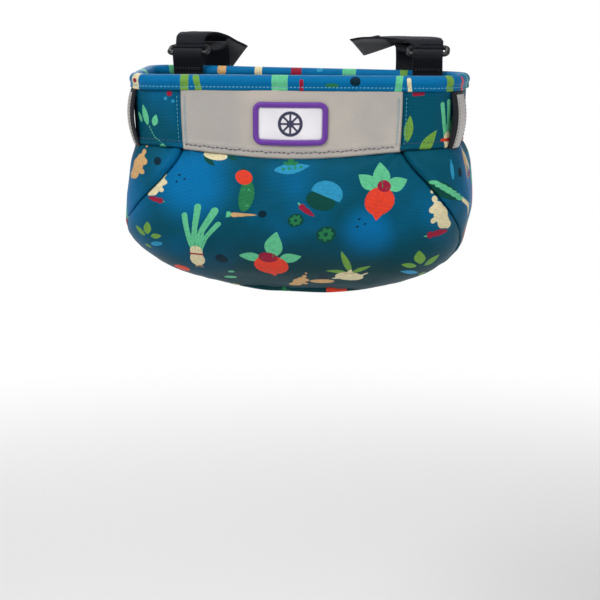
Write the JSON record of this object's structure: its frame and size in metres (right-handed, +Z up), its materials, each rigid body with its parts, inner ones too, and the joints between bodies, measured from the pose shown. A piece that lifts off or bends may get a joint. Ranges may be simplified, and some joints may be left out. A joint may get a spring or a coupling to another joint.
{
  "type": "handlebar basket",
  "caption": "Soft fabric basket with a stiff rolled rim that hangs in front of a handlebar on hook-and-loop straps run through rings, with light loops at its corners",
  "frame": {"origin": "centre of the handlebar's axis, midway between the two straps", "axes": "+X along the handlebar, +Y to the back towards the rider, +Z up; the basket's front faces -Y"},
  "size_m": [0.2704, 0.1553, 0.1953],
  "materials": {
    "printed_fabric": "printed woven polyester, faint crosswise ribs",
    "reflective_fabric": "reflective coated fabric, satin, grey",
    "lining_fabric": "smooth black lining",
    "foam": "thin foam sheet",
    "board": "matt plastic sheet",
    "hoop": "matt plastic rod",
    "patch_thread": "purple overlocked thread",
    "patch_cloth": "white woven patch",
    "patch_emblem": "purple embroidery",
    "webbing": "black woven webbing",
    "reflective_tape": "grey reflective tape",
    "ring_plastic": "moulded, semi-matt black",
    "loop_pile": "fuzzy black loop pile",
    "hook_pile": "stiff black hook pile"
  },
  "bodies": {
    "bag": {"front_panel": "printed_fabric", "back_panel": "printed_fabric", "bottom_panel": "printed_fabric", "rim_binding": "printed_fabric", "reflective_strip": "reflective_fabric", "lining": "lining_fabric", "rim_hoop": "hoop", "back_board": "board", "band_foam": "foam", "patch_face": "patch_cloth", "patch_border": "patch_thread", "patch_emblem": "patch_emblem", "left_gusset": "printed_fabric", "left_band": "printed_fabric", "left_light_loop": "webbing", "left_loop_tape": "reflective_tape", "left_ring_tab": "webbing", "left_bar_strap": "webbing", "left_loop_pad": "loop_pile", "right_gusset": "printed_fabric", "right_band": "printed_fabric", "right_light_loop": "webbing", "right_loop_tape": "reflective_tape", "right_ring_tab": "webbing", "right_bar_strap": "webbing", "right_loop_pad": "loop_pile"},
    "left_ring": {"left_ring": "ring_plastic", "left_strap_fold": "webbing"},
    "left_tail": {"left_strap_tail": "webbing", "left_hook_pad": "hook_pile"},
    "right_ring": {"right_ring": "ring_plastic", "right_strap_fold": "webbing"},
    "right_tail": {"right_strap_tail": "webbing", "right_hook_pad": "hook_pile"}
  },
  "joints": [
    {"name": "left_ring_swing", "type": "hinge", "parent": "bag", "child": "left_ring", "pos_m": [-0.097, -0.0282, 0.0065], "axis": [1, 0, 0], "range_deg": [0, 20]},
    {"name": "left_tail_peel", "type": "hinge", "parent": "left_ring", "child": "left_tail", "pos_m": [-0.097, -0.01504, 0.01129], "axis": [1, 0, 0], "range_deg": [0, 110]},
    {"name": "right_ring_swing", "type": "hinge", "parent": "bag", "child": "right_ring", "pos_m": [0.097, -0.0282, 0.0065], "axis": [1, 0, 0], "range_deg": [0, 20]},
    {"name": "right_tail_peel", "type": "hinge", "parent": "right_ring", "child": "right_tail", "pos_m": [0.097, -0.01504, 0.01129], "axis": [1, 0, 0], "range_deg": [0, 110]}
  ]
}
